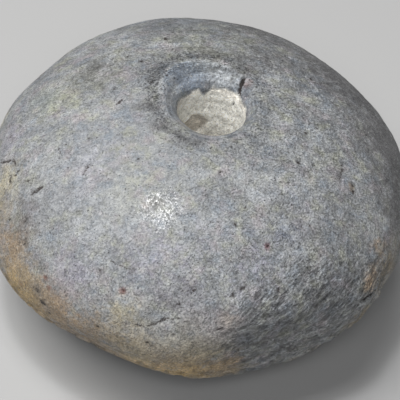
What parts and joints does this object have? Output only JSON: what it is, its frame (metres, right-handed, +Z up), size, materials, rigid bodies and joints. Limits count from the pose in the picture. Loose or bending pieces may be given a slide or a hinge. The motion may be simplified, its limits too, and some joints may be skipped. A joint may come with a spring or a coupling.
{
  "type": "stone spindle whorl",
  "caption": "Rounded stone spindle whorl, wider than it is high, with a worn spindle hole bored through it and a small ground foot.",
  "frame": {"origin": "middle of the stone's footprint, on the ground foot that it stands on", "axes": "+Z up through the stone, along the spindle hole; +X to the right and +Y away, seen from the side that the picture shows"},
  "size_m": [0.0412, 0.0418, 0.0252],
  "materials": {
    "stone": "satin"
  },
  "bodies": {
    "root": {"whorl": "stone"}
  },
  "joints": []
}
